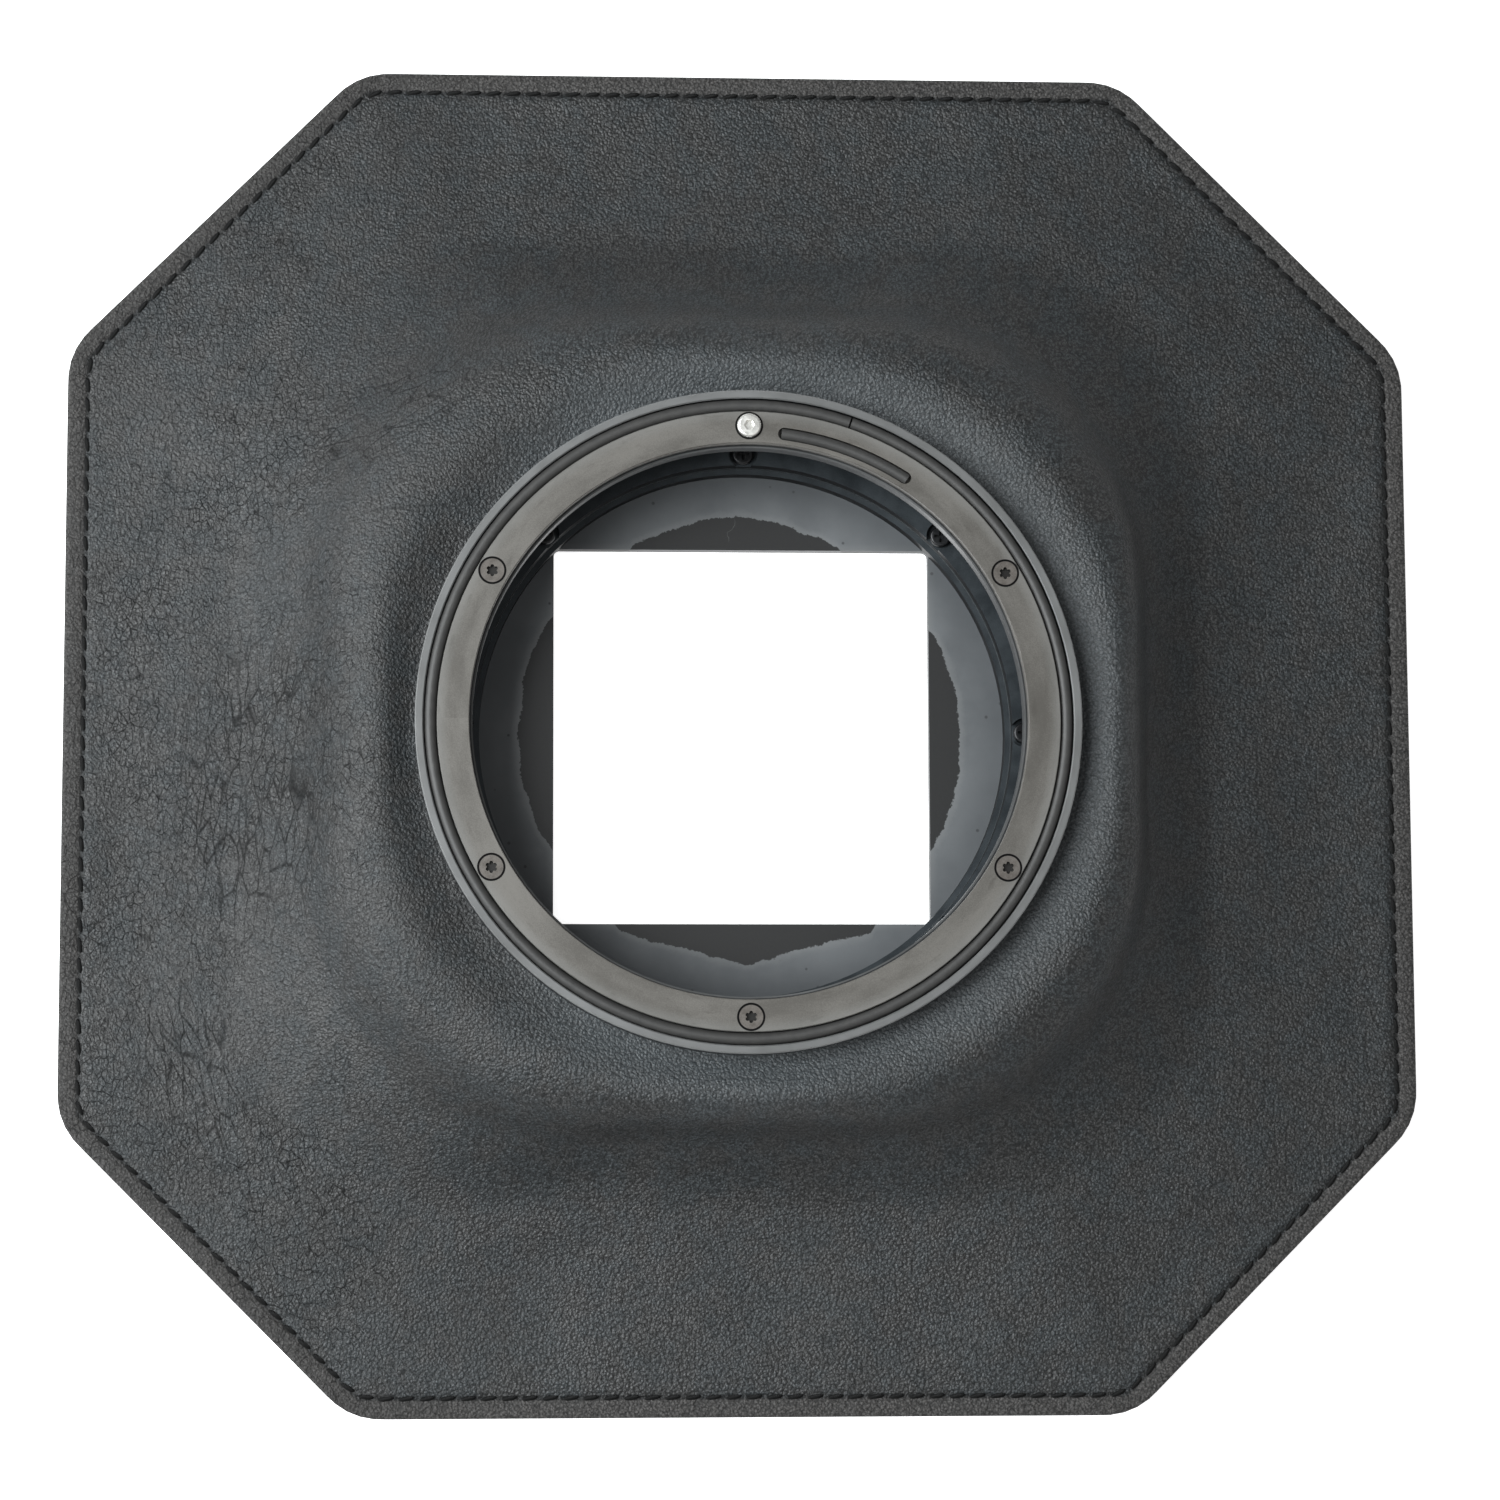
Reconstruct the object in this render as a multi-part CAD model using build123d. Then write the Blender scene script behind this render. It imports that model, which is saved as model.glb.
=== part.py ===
from build123d import *
import os
from math import cos, pi, radians, sin, sqrt

# A wide-angle bag bellows for a view camera, lying flat on its rear plate.
# Two leather panels are sewn together round an octagonal edge. The rear panel is clamped
# to a square plate with a square picture window, and the front panel carries a round
# mounting ring. Millimetres; +Z is the optical axis, from the rear plate to the front ring;
# +Y is the top of the picture; the origin is the middle of the rear face.

# --- driving dimensions: rear frame ------------------------------------------------
plate_width = 120.0           # square mounting plate and the frame screwed to it
plate_corner = 8.0            # radius of their corners
plate_thickness = 2.5
window_width = 64.0           # square picture window in the mounting plate
window_corner = 1.0
frame_thickness = 3.0
frame_step = 0.9              # the frame's round hole is this much inside the clamp ring's
frame_screw_inset = 10.0      # the four corner screws, in from the plate's edges
frame_screw_radius = 1.5
frame_screw_head = 2.9

# --- driving dimensions: leather bag -----------------------------------------------
bag_width = 229.0             # across the flats of the octagon
corner_cut = 49.0             # leg of each cut corner
corner_radius = 12.0          # rounding of the octagon's points
leather_thickness = 1.1
lining_thickness = 0.3
tape_thickness = 0.4          # stay tape sewn in between the two panels
tape_width = 7.0
stitch_inset = 3.4            # stitch line to the cut edge
thread_width = 0.6
thread_thickness = 0.3
table_gap = 0.2               # lower thread above the surface that the plate rests on
rear_slope_reach = 13.0       # how far past the plate the rear panel comes down to the seam
front_slope_reach = 18.0      # the same for the front panel

# --- driving dimensions: rear clamp ------------------------------------------------
rear_clamp_bore = 45.5        # radius
rear_clamp_width = 5.9
rear_clamp_thickness = 2.4
rear_screw_count = 8
rear_screw_inset = 2.0        # the clamp ring's bore to its screw circle
rear_screw_radius = 1.0
rear_screw_head = 1.8
rear_screw_head_height = 1.3
rear_counterbore = 2.45       # radius of the pocket round each head
rear_counterbore_depth = 1.5

# --- driving dimensions: front ring ------------------------------------------------
clamp_to_face = 17.6          # rear clamp's top to the front ring's face, bag at rest
ring_bore = 46.1              # radius of the face ring's hole
ring_face_width = 5.3
ring_face_thickness = 2.1
cord_groove_width = 2.2
rim_width = 1.4
rim_drop = 0.15               # the flange's rim stands this far below the face
flange_step = 0.5             # the flange's bore is this much inside the face ring's
flange_thickness = 2.9        # below the groove's floor
front_clamp_relief = 1.1      # the clamp ring's bore is this much outside the flange's
front_clamp_margin = 1.6      # the clamp ring's edge is this much inside the flange's
front_clamp_thickness = 2.2
ring_screw_count = 6          # five flush screws and the proud index screw
ring_screw_inset = 2.85       # the face ring's bore to its screw circle
ring_screw_radius = 1.25
ring_screw_head = 2.15
ring_screw_head_depth = 1.2
index_head = 2.0
index_head_height = 1.0
index_seat_depth = 0.3
seal_cord_joint = 18.8        # clockwise from the top, degrees
cord_joint_gap = 0.3
slot_start = 7.0              # cap centres of the curved slot, degrees clockwise from the top
slot_end = 32.6
slot_inset = 1.85             # the face ring's bore to the slot's middle
slot_width = 2.1
slot_depth = 1.5
collar_width = 2.6            # flat leather that shows round the flange before it falls away

# --- driver recesses and broken edges -----------------------------------------------
frame_recess_depth = 0.9
rear_recess_depth = 0.8
ring_recess_radius = 1.0      # six-lobed
ring_recess_depth = 0.9
index_recess_width = 1.85     # hexagon, across corners
index_recess_depth = 0.8
rear_head_round = 0.4
index_head_round = 0.45
plate_edge_break = 0.5
frame_edge_break = 0.6
rim_edge_break = 0.2
face_edge_break = 0.12

# --- clearances --------------------------------------------------------------------
screw_tip_gap = 0.2           # a screw's tip to the floor of its tapped hole
screw_clearance = 0.15        # hole over screw, radial
head_clearance = 0.06
cord_clearance = 0.1          # a round cord to each wall of its groove
seat = 0.02                   # a round cord above the floor of its groove

# --- heights, from the rear face up ------------------------------------------------
frame_top = plate_thickness + frame_thickness
rear_leather_top = frame_top + leather_thickness
rear_lining_top = rear_leather_top + lining_thickness
rear_clamp_top = rear_lining_top + rear_clamp_thickness
face_z = rear_clamp_top + clamp_to_face
face_floor = face_z - ring_face_thickness
flange_base = face_floor - flange_thickness
front_leather_base = flange_base - leather_thickness
front_lining_base = front_leather_base - lining_thickness
front_clamp_base = front_lining_base - front_clamp_thickness

seam_rear_leather = table_gap + thread_thickness
seam_rear_lining = seam_rear_leather + leather_thickness
seam_tape = seam_rear_lining + lining_thickness
seam_front_lining = seam_tape + tape_thickness
seam_front_leather = seam_front_lining + lining_thickness
seam_top = seam_front_leather + leather_thickness

# --- radii -------------------------------------------------------------------------
frame_bore = rear_clamp_bore - frame_step
rear_screw_circle = rear_clamp_bore + rear_screw_inset
rear_tapped_floor = plate_thickness + frame_thickness / 2
face_outer = ring_bore + ring_face_width
groove_middle = face_outer + cord_groove_width / 2
rim_inner = face_outer + cord_groove_width
ring_outer = rim_inner + rim_width
flange_bore = ring_bore - flange_step
front_clamp_bore = flange_bore + front_clamp_relief
front_clamp_outer = ring_outer - front_clamp_margin
ring_screw_circle = ring_bore + ring_screw_inset
slot_circle = ring_bore + slot_inset
seal_cord_radius = cord_groove_width / 2 - cord_clearance
slot_cord_radius = slot_width / 2 - cord_clearance

# --- footprints of the bag's slopes, each a width and a corner radius ---------------
skirt_gap = 1.0               # leather clear of the plate's edge
rear_hill = (plate_width + 2 * skirt_gap, plate_corner + skirt_gap)
front_hill = (2 * (ring_outer + collar_width), 0.98 * (ring_outer + collar_width))
foot_corner = plate_corner + rear_slope_reach
rear_foot = (plate_width + 2 * rear_slope_reach, foot_corner)
front_foot = (plate_width + 2 * front_slope_reach, foot_corner)


def clockwise(angle, radius, z=0.0):
    """A place on a circle, counted clockwise from the top."""
    return Pos(radius * sin(radians(angle)), radius * cos(radians(angle)), z)


def disc(radius, low, high):
    return Pos(0, 0, low) * extrude(Circle(radius), high - low)


def ring(inner, outer, low, high):
    return disc(outer, low, high) - disc(inner, low - 1, high + 1)


def block(width, radius, low, high):
    return Pos(0, 0, low) * extrude(RectangleRounded(width, width, radius), high - low)


def octagon(inset, low, high):
    """The bag's outline, pulled in all round by inset, between two heights."""
    half = bag_width / 2 - inset
    cut = corner_cut - inset * (2 - sqrt(2))
    radius = max(corner_radius - inset, 1.0)
    a, b = half, half - cut
    points = [(a, b), (b, a), (-b, a), (-a, b), (-a, -b), (-b, -a), (b, -a), (a, -b)]
    outline = FilletPolyline(*points, radius=radius, close=True)
    return Pos(0, 0, low) * extrude(make_face(outline), high - low)


def hill(top, foot, low, high):
    """A rounded square that grows from top, at high, to foot, at low. Each is (width, radius)."""
    upper = Pos(0, 0, high) * RectangleRounded(top[0], top[0], top[1])
    lower = Pos(0, 0, low) * RectangleRounded(foot[0], foot[0], foot[1])
    return loft([lower.face(), upper.face()], ruled=True)


def panel(top, foot, low, high, thickness, bore):
    """One layer of the bag: a flat brim at the seam that rises to a clamped collar."""
    outside = octagon(0, low, low + thickness)
    outside += hill(top, foot, low + thickness, high + thickness)
    return outside - hill(top, foot, low, high) - disc(bore, low, high + thickness + 1)


def punched(layer, count, circle, radius, low, high):
    """A layer with screw holes punched through its clamped collar."""
    for i in range(count):
        layer -= clockwise(360 / count * i, circle) * disc(radius, low - 1, high + 1)
    return layer


def star(radius, low, high):
    """A six-lobed driver recess."""
    shape = disc(0.72 * radius, low, high)
    for i in range(6):
        shape += clockwise(60 * i, 0.7 * radius) * disc(0.3 * radius, low, high)
    return shape


def cross(radius, low, high):
    """A cross driver recess."""
    arm = Pos(0, 0, (low + high) / 2) * Box(2 * radius, 0.45 * radius, high - low)
    return arm + Rot(0, 0, 90) * arm


def hexagon(across_corners, low, high):
    return Pos(0, 0, low) * extrude(RegularPolygon(across_corners / 2, 6), high - low)


def save(name, shape):
    """Write one node: a solid, or a list of alike ones."""
    node = Compound(children=shape) if isinstance(shape, list) else shape
    node.label = name
    export_step(node, f"parts/{name}.step")


# --- rear frame --------------------------------------------------------------------
half_spacing = plate_width / 2 - frame_screw_inset
corners = [(x * half_spacing, y * half_spacing) for x in (-1, 1) for y in (-1, 1)]
frame_screw_end = frame_top - 2 * screw_tip_gap
frame_screw_cone = frame_screw_head - frame_screw_radius


def make_mounting_plate():
    plate = block(plate_width, plate_corner, 0, plate_thickness)
    plate -= block(window_width, window_corner, -1, plate_thickness + 1)
    for x, y in corners:
        hole = disc(frame_screw_radius + screw_clearance, -1, plate_thickness + 1)
        sink = Cone(frame_screw_head + head_clearance, frame_screw_radius + head_clearance,
                    frame_screw_cone, align=(Align.CENTER, Align.CENTER, Align.MIN))
        plate -= Pos(x, y, 0) * (hole + sink)
    edges = plate.faces().sort_by(Axis.Z)[0].outer_wire().edges()
    return chamfer(edges, plate_edge_break)


def make_rear_frame():
    frame = block(plate_width, plate_corner, plate_thickness, frame_top)
    frame -= disc(frame_bore, 0, frame_top + 1)
    for x, y in corners:
        frame -= Pos(x, y, 0) * disc(frame_screw_radius, 0, frame_screw_end)
    frame = punched(frame, rear_screw_count, rear_screw_circle, rear_screw_radius,
                    rear_tapped_floor, frame_top + 1)
    edges = frame.faces().sort_by(Axis.Z)[-1].outer_wire().edges()
    return chamfer(edges, frame_edge_break)


def make_frame_screw():
    shank = disc(frame_screw_radius, 0, frame_screw_end)
    head = Cone(frame_screw_head, frame_screw_radius, frame_screw_cone,
                align=(Align.CENTER, Align.CENTER, Align.MIN))
    return shank + head - cross(0.55 * frame_screw_head, -1, frame_recess_depth)


# --- clamp rings -------------------------------------------------------------------
def make_rear_clamp_ring():
    clamp = ring(rear_clamp_bore, rear_clamp_bore + rear_clamp_width, rear_lining_top, rear_clamp_top)
    pocket_floor = rear_clamp_top - rear_counterbore_depth
    clamp = punched(clamp, rear_screw_count, rear_screw_circle,
                    rear_screw_radius + screw_clearance, rear_lining_top, rear_clamp_top)
    return punched(clamp, rear_screw_count, rear_screw_circle, rear_counterbore,
                   pocket_floor + 1, rear_clamp_top)


def make_rear_clamp_screw():
    head_base = rear_clamp_top - rear_counterbore_depth
    head = disc(rear_screw_head, head_base, head_base + rear_screw_head_height)
    head = fillet(head.edges().sort_by(Axis.Z)[-1], rear_head_round)
    screw = head + disc(rear_screw_radius, rear_tapped_floor + screw_tip_gap, head_base)
    head_top = head_base + rear_screw_head_height
    return screw - cross(0.6 * rear_screw_head, head_top - rear_recess_depth, head_top + 1)


def make_front_clamp_ring():
    clamp = ring(front_clamp_bore, front_clamp_outer, front_clamp_base, front_lining_base)
    return punched(clamp, ring_screw_count, ring_screw_circle, ring_screw_radius,
                   front_clamp_base, front_lining_base)


# --- front ring --------------------------------------------------------------------
def make_front_flange():
    flange = ring(flange_bore, ring_outer, flange_base, face_z - rim_drop)
    flange -= disc(rim_inner, face_floor, face_z + 1)
    flange = punched(flange, ring_screw_count, ring_screw_circle,
                     ring_screw_radius + screw_clearance, flange_base, face_z)
    edges = flange.faces().sort_by(Axis.Z)[-1].edges()
    return chamfer(edges, rim_edge_break)


def make_face_ring():
    face = ring(ring_bore, face_outer, face_floor, face_z)
    edges = face.faces().sort_by(Axis.Z)[-1].edges()
    face = chamfer(edges, face_edge_break)
    face = punched(face, ring_screw_count, ring_screw_circle,
                   ring_screw_radius + screw_clearance, face_floor, face_z)
    sink_radius = ring_screw_head + head_clearance
    sink = Pos(0, 0, face_z) * Cone(ring_screw_radius + head_clearance, sink_radius,
                                    ring_screw_head_depth,
                                    align=(Align.CENTER, Align.CENTER, Align.MAX))
    for i in range(1, ring_screw_count):
        face -= clockwise(360 / ring_screw_count * i, ring_screw_circle) * sink
    index_seat = disc(index_head + head_clearance, face_z - index_seat_depth, face_z + 1)
    face -= clockwise(0, ring_screw_circle) * index_seat
    return face - curved_slot(slot_width / 2)


def curved_slot(half_width):
    """The round-ended slot cut into the face, between its two cap centres."""
    low = face_z - slot_depth
    band = ring(slot_circle - half_width, slot_circle + half_width, low, face_z + 1)
    reach = 2 * slot_circle
    wedge = Polygon((0, 0), (reach * sin(radians(slot_end)), reach * cos(radians(slot_end))),
                    (reach * sin(radians(slot_start)), reach * cos(radians(slot_start))), align=None)
    band &= Pos(0, 0, low - 1) * extrude(wedge, slot_depth + 3)
    for angle in (slot_start, slot_end):
        band += clockwise(angle, slot_circle) * disc(half_width, low, face_z + 1)
    return band


def make_ring_screw():
    shank = disc(ring_screw_radius, front_clamp_base + screw_tip_gap, face_z - ring_screw_head_depth)
    head = Pos(0, 0, face_z) * Cone(ring_screw_radius, ring_screw_head, ring_screw_head_depth,
                                    align=(Align.CENTER, Align.CENTER, Align.MAX))
    return shank + head - star(ring_recess_radius, face_z - ring_recess_depth, face_z + 1)


def make_index_screw():
    head_base = face_z - index_seat_depth
    head_top = head_base + index_head_height
    head = fillet(disc(index_head, head_base, head_top).edges().sort_by(Axis.Z)[-1],
                  index_head_round)
    screw = head + disc(ring_screw_radius, front_clamp_base + screw_tip_gap, head_base)
    return screw - hexagon(index_recess_width, head_top - index_recess_depth, head_top + 1)


def cord(circle, radius, centre_z, start, end):
    """A round rubber cord bent along part of a circle, angles clockwise from the top."""
    path = CenterArc((0, 0, centre_z), circle, 90 - end, end - start)
    section = Plane(origin=path @ 0, z_dir=path % 0) * Circle(radius)
    return sweep(section, path=path)


def make_seal_cord():
    half_gap = degrees_of(cord_joint_gap / 2, groove_middle)
    centre_z = face_floor + seal_cord_radius + seat
    return cord(groove_middle, seal_cord_radius, centre_z,
                seal_cord_joint + half_gap, seal_cord_joint + 360 - half_gap)


def make_slot_cord():
    end_room = degrees_of(0.45 * slot_width, slot_circle)
    centre_z = face_z - slot_depth + slot_cord_radius + seat
    return cord(slot_circle, slot_cord_radius, centre_z,
                slot_start - end_room / 2, slot_end + end_room / 2)


def degrees_of(length, radius):
    return length / radius * 180 / pi


# --- leather bag -------------------------------------------------------------------
def make_rear_layer(low, high, thickness):
    layer = panel(rear_hill, rear_foot, low, high, thickness, rear_clamp_bore)
    return punched(layer, rear_screw_count, rear_screw_circle,
                   rear_screw_radius + screw_clearance, high, high + thickness)


def make_front_layer(low, high, thickness):
    layer = panel(front_hill, front_foot, low, high, thickness, flange_bore)
    return punched(layer, ring_screw_count, ring_screw_circle,
                   ring_screw_radius + screw_clearance, high, high + thickness)


def make_thread(low):
    """One thread of the lockstitch, as the band that its stitches follow."""
    inside = stitch_inset + thread_width / 2
    band = octagon(stitch_inset - thread_width / 2, low, low + thread_thickness)
    return band - octagon(inside, low - 1, low + thread_thickness + 1)


def make_stay_tape():
    tape = octagon(0.4, seam_tape, seam_front_lining)
    return tape - octagon(0.4 + tape_width, seam_tape - 1, seam_front_lining + 1)


os.makedirs("parts", exist_ok=True)

save("mounting_plate", make_mounting_plate())
save("rear_frame", make_rear_frame())
save("frame_screws", [Pos(x, y, 0) * make_frame_screw() for x, y in corners])
save("rear_clamp_ring", make_rear_clamp_ring())
rear_screw = make_rear_clamp_screw()
save("rear_clamp_screws", [clockwise(360 / rear_screw_count * i, rear_screw_circle) * rear_screw
                           for i in range(rear_screw_count)])

save("rear_leather", make_rear_layer(seam_rear_leather, frame_top, leather_thickness))
save("rear_lining", make_rear_layer(seam_rear_lining, rear_leather_top, lining_thickness))
save("stay_tape", make_stay_tape())
save("front_lining", make_front_layer(seam_front_lining, front_lining_base, lining_thickness))
save("front_leather", make_front_layer(seam_front_leather, front_leather_base, leather_thickness))
save("rear_thread", make_thread(table_gap))
save("front_thread", make_thread(seam_top))

save("front_clamp_ring", make_front_clamp_ring())
save("front_flange", make_front_flange())
save("face_ring", make_face_ring())
ring_screw = make_ring_screw()
save("ring_screws", [clockwise(360 / ring_screw_count * i, ring_screw_circle) * ring_screw
                     for i in range(1, ring_screw_count)])
save("index_screw", clockwise(0, ring_screw_circle) * make_index_screw())
save("seal_cord", make_seal_cord())
save("slot_cord", make_slot_cord())
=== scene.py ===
# %% [markdown]
# # A bag bellows for a view camera
# Two octagonal leather panels are sewn together round their edge. The front panel carries a
# round metal ring and the rear panel a square plate with a picture window. The metal pieces
# come from the packed model, which is loaded first and never changed. This lesson gives them
# their finishes, and makes the leather, the lining and the stitches that show.

# %% Load the packed model
from math import atan2, cos, hypot, pi, radians, sin, sqrt

import bpy
import numpy as np
from mathutils import Matrix, Vector


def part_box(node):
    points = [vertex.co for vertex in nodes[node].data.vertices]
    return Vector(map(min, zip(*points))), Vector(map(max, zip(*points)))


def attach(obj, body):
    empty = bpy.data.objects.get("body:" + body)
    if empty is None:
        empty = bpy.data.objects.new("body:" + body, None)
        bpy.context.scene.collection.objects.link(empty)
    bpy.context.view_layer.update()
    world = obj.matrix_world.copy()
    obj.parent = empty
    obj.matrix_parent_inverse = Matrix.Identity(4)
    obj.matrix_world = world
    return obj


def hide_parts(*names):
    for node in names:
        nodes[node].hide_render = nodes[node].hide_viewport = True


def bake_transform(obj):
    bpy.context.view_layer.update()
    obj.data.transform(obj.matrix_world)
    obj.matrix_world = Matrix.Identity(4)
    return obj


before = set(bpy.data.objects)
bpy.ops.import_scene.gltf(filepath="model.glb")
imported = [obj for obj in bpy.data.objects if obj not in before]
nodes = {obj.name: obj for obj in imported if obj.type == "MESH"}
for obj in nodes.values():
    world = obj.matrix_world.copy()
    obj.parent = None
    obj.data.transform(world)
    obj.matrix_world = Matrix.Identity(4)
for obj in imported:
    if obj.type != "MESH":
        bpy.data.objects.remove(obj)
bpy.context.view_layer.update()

MM = 0.001

# %% [markdown]
# ## Reading places from the model
# Most places below come from the boxes of the modelled pieces, so that the leather meets them.
# The others are sizes of the bag itself, each named once. All lengths are kept in millimetres
# and turned into metres when a mesh is made.


# %% Heights and radii of the pieces
def low(node, axis=2):
    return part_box(node)[0][axis] / MM


def high(node, axis=2):
    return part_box(node)[1][axis] / MM


RING_OUTER = high("front_flange", 0)
FACE_Z = high("face_ring")
FACE_BORE = 46.1        # radius of the hole in the face ring
REAR_BORE = 45.5        # radius of the hole in the rear clamp ring
BAG_HALF = high("front_leather", 0)
PLATE_HALF = high("mounting_plate", 0)
LEATHER = 1.1           # thickness of the hide
LINING = 0.3            # thickness of the cloth inside it
CORNER_CUT = 49.0       # how much of a side each corner of the octagon takes
CORNER_RADIUS = 12.0    # radius of the octagon's rounded points
STITCH_INSET = 3.4      # from the cut edge in to the seam
STITCH_PITCH = 3.4
FRONT_EDGE_Z = low("front_thread") - LEATHER / 2
FRONT_COLLAR_Z = high("front_leather") - LEATHER / 2
REAR_EDGE_Z = high("rear_thread") + LEATHER / 2
REAR_COLLAR_Z = high("rear_leather") - LEATHER / 2
print("ring face at", round(FACE_Z, 2), "mm, front leather edge at", round(FRONT_EDGE_Z, 2),
      "mm, collars at", round(FRONT_COLLAR_Z, 2), "and", round(REAR_COLLAR_Z, 2), "mm")

# %% [markdown]
# ## The camera
# The bellows lies on a white table and is looked at from nearly straight above, from a hand's
# breadth towards its lower edge. A lens of about 100 mm at 0.7 m shows it without much
# perspective. A camera can be turned by three angles, but its matrix is built here from the
# line of sight, because that line is what is known.

# %% Camera
CAMERA_DISTANCE = 700 * MM
TILT_DOWN = radians(6.6)      # towards the lower edge
TILT_LEFT = radians(3.4)      # towards the left edge
ROLL = radians(-0.2)
SENSOR_MM, LENS_MM = 36, 102.3
AIM = Vector((-0.05, -5.15, FACE_Z)) * MM
back = Vector((-sin(TILT_LEFT), -sin(TILT_DOWN), 1)).normalized()
side = Vector((0, 1, 0)).cross(back).normalized()
upward = back.cross(side)
side, upward = cos(ROLL) * side + sin(ROLL) * upward, cos(ROLL) * upward - sin(ROLL) * side
camera = bpy.data.objects.new("camera", bpy.data.cameras.new("camera"))
bpy.context.scene.collection.objects.link(camera)
camera.matrix_world = Matrix.Translation(AIM + back * CAMERA_DISTANCE) @ Matrix(
    (side, upward, back)).transposed().to_4x4()
camera.data.sensor_width = SENSOR_MM
camera.data.lens = LENS_MM
camera.data.clip_start = 0.01
bpy.context.scene.camera = camera
bpy.context.scene.view_settings.view_transform = "Standard"
print("camera at", [round(v, 3) for v in camera.location])

# %% [markdown]
# ## Light
# One large soft lamp stands where a window would, at the left, and a weak one fills from above.
# A real window is better copied by an area lamp than by a sun: its size is what makes the broad
# soft shine on leather and metal. The dim white world stands for the room.


# %% Floor and lamps
def stage_plane(name, size, height):
    bpy.ops.object.select_all(action="DESELECT")
    bpy.ops.mesh.primitive_plane_add(size=size, location=(0, 0, height))
    plane = bpy.context.object
    plane.name = name
    return plane


def lamp(name, place, target, width, height, watts, colour):
    data = bpy.data.lights.new(name, "AREA")
    data.shape, data.size, data.size_y = "RECTANGLE", width, height
    data.energy, data.color = watts, colour
    obj = bpy.data.objects.new(name, data)
    bpy.context.scene.collection.objects.link(obj)
    obj.location = place
    aim = Vector(target) - Vector(place)
    obj.rotation_euler = aim.to_track_quat("-Z", "Y").to_euler()
    return obj


floor = stage_plane("floor", 40.0, -0.3 * MM)
lamp("window_light", (-0.78, 0.03, 0.86), (0, 0, 0), 0.8, 1.1, 32, (0.95, 0.985, 1.0))
lamp("top_fill", (0.7, -0.5, 1.6), (0, 0, 0), 1.4, 1.4, 4, (1.0, 0.98, 0.95))
world = bpy.data.worlds.new("studio")
bpy.context.scene.world = world
world.use_nodes = True
room = world.node_tree.nodes["Background"].inputs
room["Color"].default_value = (0.97, 0.985, 1.0, 1)
room["Strength"].default_value = 0.28
print("floor, two lamps and a dim room are in place")

# %% [markdown] ## A small kit for finishes Each finish is a node graph. The same graphs could
# be drawn by hand in the shader editor, but a dozen finishes share these few moves. Patterns
# are measured in millimetres on the piece's Object coordinates, which are the same for every
# piece, so a pattern runs on unbroken from one piece to the next.


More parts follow.
